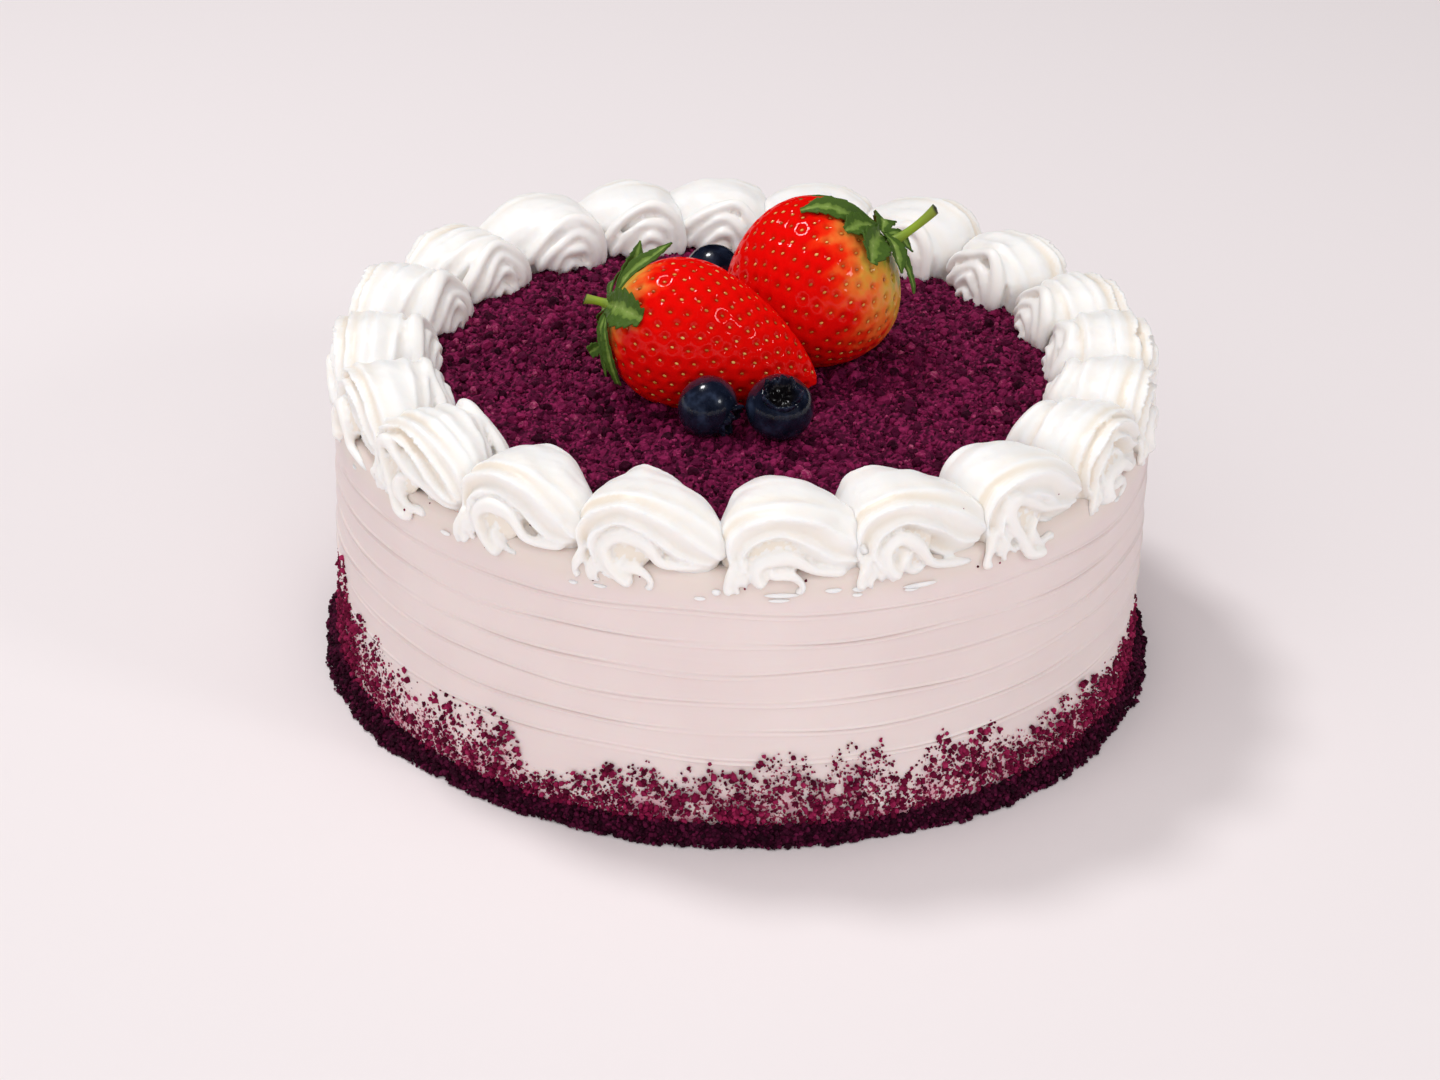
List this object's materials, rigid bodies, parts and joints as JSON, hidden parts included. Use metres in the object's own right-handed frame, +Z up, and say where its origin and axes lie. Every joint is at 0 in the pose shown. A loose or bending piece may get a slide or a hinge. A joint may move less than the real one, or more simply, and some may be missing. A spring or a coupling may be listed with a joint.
{
  "type": "velvet layer cake",
  "caption": "Round whipped-cream layer cake with a combed wall, piped shell border, velvet crumb top and whole berries.",
  "frame": {"origin": "middle of the underside, on the plane the cake stands on", "axes": "+Z up, -Z out of the underside (mount base), -Y towards the viewer of the front"},
  "size_m": [0.2101, 0.2112, 0.1148],
  "materials": {
    "wall_cream": "spread whipped cream, smooth and slightly moist, tinted faintly pink",
    "piped_cream": "piped whipped cream, soft satin sheen",
    "crumb": "loose velvet cake crumb, matte and granular",
    "strawberry": "glossy skin with seeds in dimples",
    "leaf": "thin veined leaf",
    "blueberry": "dark skin with a light bloom"
  },
  "bodies": {
    "root": {"cake_body": "wall_cream", "swirl_01": "piped_cream", "swirl_02": "piped_cream", "swirl_03": "piped_cream", "swirl_04": "piped_cream", "swirl_05": "piped_cream", "swirl_06": "piped_cream", "swirl_07": "piped_cream", "swirl_08": "piped_cream", "swirl_09": "piped_cream", "swirl_10": "piped_cream", "swirl_11": "piped_cream", "swirl_12": "piped_cream", "swirl_13": "piped_cream", "swirl_14": "piped_cream", "swirl_15": "piped_cream", "swirl_16": "piped_cream", "swirl_17": "piped_cream", "swirl_18": "piped_cream", "swirl_19": "piped_cream", "swirl_20": "piped_cream", "foot_crumbs": "crumb", "crumb_top": "crumb", "strawberry_front": "strawberry", "strawberry_front_cap": "leaf", "strawberry_back": "strawberry", "strawberry_back_cap": "leaf", "blueberry_right": "blueberry", "blueberry_left": "blueberry", "blueberry_back": "blueberry"}
  },
  "joints": []
}
